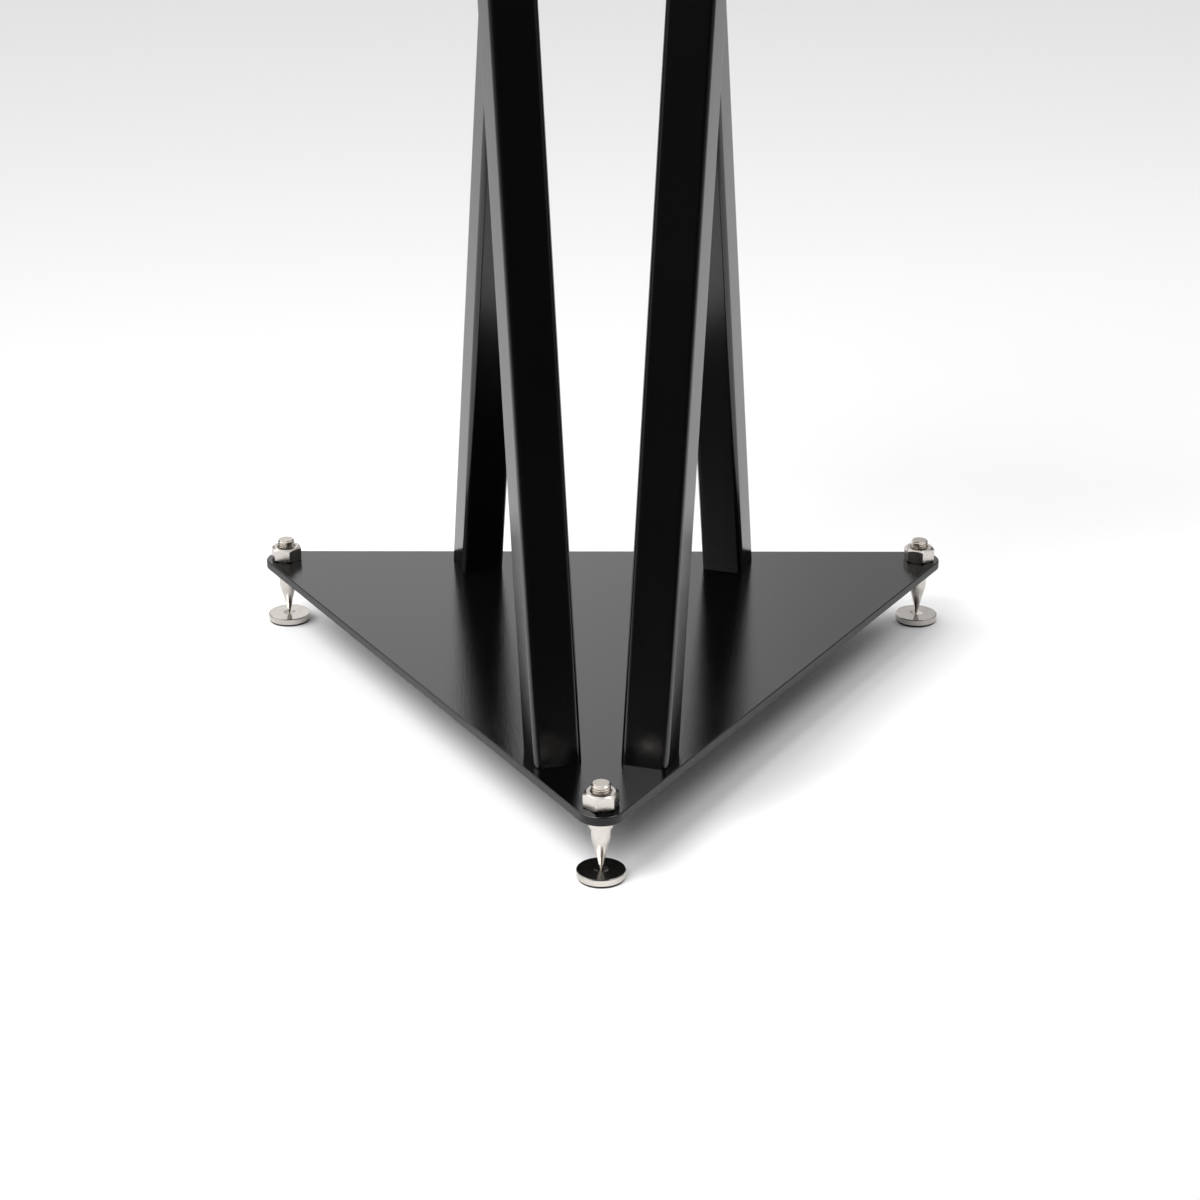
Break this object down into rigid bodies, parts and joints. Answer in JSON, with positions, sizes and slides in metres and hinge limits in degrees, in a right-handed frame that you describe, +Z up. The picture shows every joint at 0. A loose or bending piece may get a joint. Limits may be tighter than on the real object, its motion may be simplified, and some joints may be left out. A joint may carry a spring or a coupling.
{
  "type": "speaker stand",
  "caption": "Floor stand for a bookshelf loudspeaker: triangular steel base on spiked feet with floor discs, leaning square columns and a small top plate.",
  "frame": {"origin": "on the floor, at the middle of the stand's outline", "axes": "+Z up, -Y towards the front foot, +X to the right as seen from the front"},
  "size_m": [0.326, 0.2844, 0.5],
  "materials": {
    "painted_black": "satin powder coat",
    "bright_steel": "bright nickel plate, turned",
    "plain_steel": "zinc plated",
    "black_screw": "black oxide",
    "soft_black": "matt"
  },
  "bodies": {
    "frame": {"base_plate": "painted_black", "top_plate": "painted_black", "column_front_left": "painted_black", "column_front_right": "painted_black", "column_rear_left": "painted_black", "column_rear_right": "painted_black", "lower_insert_front_left": "plain_steel", "lower_insert_front_right": "plain_steel", "lower_insert_rear_left": "plain_steel", "lower_insert_rear_right": "plain_steel", "upper_insert_front_left": "plain_steel", "upper_insert_front_right": "plain_steel", "upper_insert_rear_left": "plain_steel", "upper_insert_rear_right": "plain_steel", "base_screws": "black_screw", "top_screws": "black_screw", "top_pad_front_left": "soft_black", "top_pad_front_right": "soft_black", "top_pad_rear_left": "soft_black", "top_pad_rear_right": "soft_black"},
    "foot_front": {"floor_disc_front": "bright_steel", "floor_pad_front": "soft_black"},
    "spike_front": {"spike_front": "bright_steel"},
    "nut_front": {"lock_nut_front": "bright_steel"},
    "foot_rear_left": {"floor_disc_rear_left": "bright_steel", "floor_pad_rear_left": "soft_black"},
    "spike_rear_left": {"spike_rear_left": "bright_steel"},
    "nut_rear_left": {"lock_nut_rear_left": "bright_steel"},
    "foot_rear_right": {"floor_disc_rear_right": "bright_steel", "floor_pad_rear_right": "soft_black"},
    "spike_rear_right": {"spike_rear_right": "bright_steel"},
    "nut_rear_right": {"lock_nut_rear_right": "bright_steel"}
  },
  "joints": [
    {"name": "foot_travel_front", "type": "slide", "parent": "frame", "child": "foot_front", "axis": [0, 0, -1], "range_m": [0, 0.00313]},
    {"name": "spike_turn_front", "type": "hinge", "parent": "foot_front", "child": "spike_front", "pos_m": [0, -0.13142, 0.02], "axis": [0, 0, -1], "range_deg": [0, 900]},
    {"name": "nut_turn_front", "type": "hinge", "parent": "frame", "child": "nut_front", "pos_m": [0, -0.13142, 0.03525], "axis": [0, 0, 1], "range_deg": [0, 360]},
    {"name": "foot_travel_rear_left", "type": "slide", "parent": "frame", "child": "foot_rear_left", "axis": [0, 0, -1], "range_m": [0, 0.00313]},
    {"name": "spike_turn_rear_left", "type": "hinge", "parent": "foot_rear_left", "child": "spike_rear_left", "pos_m": [-0.153, 0.13222, 0.02], "axis": [0, 0, -1], "range_deg": [0, 900]},
    {"name": "nut_turn_rear_left", "type": "hinge", "parent": "frame", "child": "nut_rear_left", "pos_m": [-0.153, 0.13222, 0.03525], "axis": [0, 0, 1], "range_deg": [0, 360]},
    {"name": "foot_travel_rear_right", "type": "slide", "parent": "frame", "child": "foot_rear_right", "axis": [0, 0, -1], "range_m": [0, 0.00313]},
    {"name": "spike_turn_rear_right", "type": "hinge", "parent": "foot_rear_right", "child": "spike_rear_right", "pos_m": [0.153, 0.13222, 0.02], "axis": [0, 0, -1], "range_deg": [0, 900]},
    {"name": "nut_turn_rear_right", "type": "hinge", "parent": "frame", "child": "nut_rear_right", "pos_m": [0.153, 0.13222, 0.03525], "axis": [0, 0, 1], "range_deg": [0, 360]}
  ],
  "couplings": [
    {"joint": "spike_turn_front", "follows": "foot_travel_front", "rad_per_m": 5026.5},
    {"joint": "spike_turn_rear_left", "follows": "foot_travel_rear_left", "rad_per_m": 5026.5},
    {"joint": "spike_turn_rear_right", "follows": "foot_travel_rear_right", "rad_per_m": 5026.5}
  ]
}
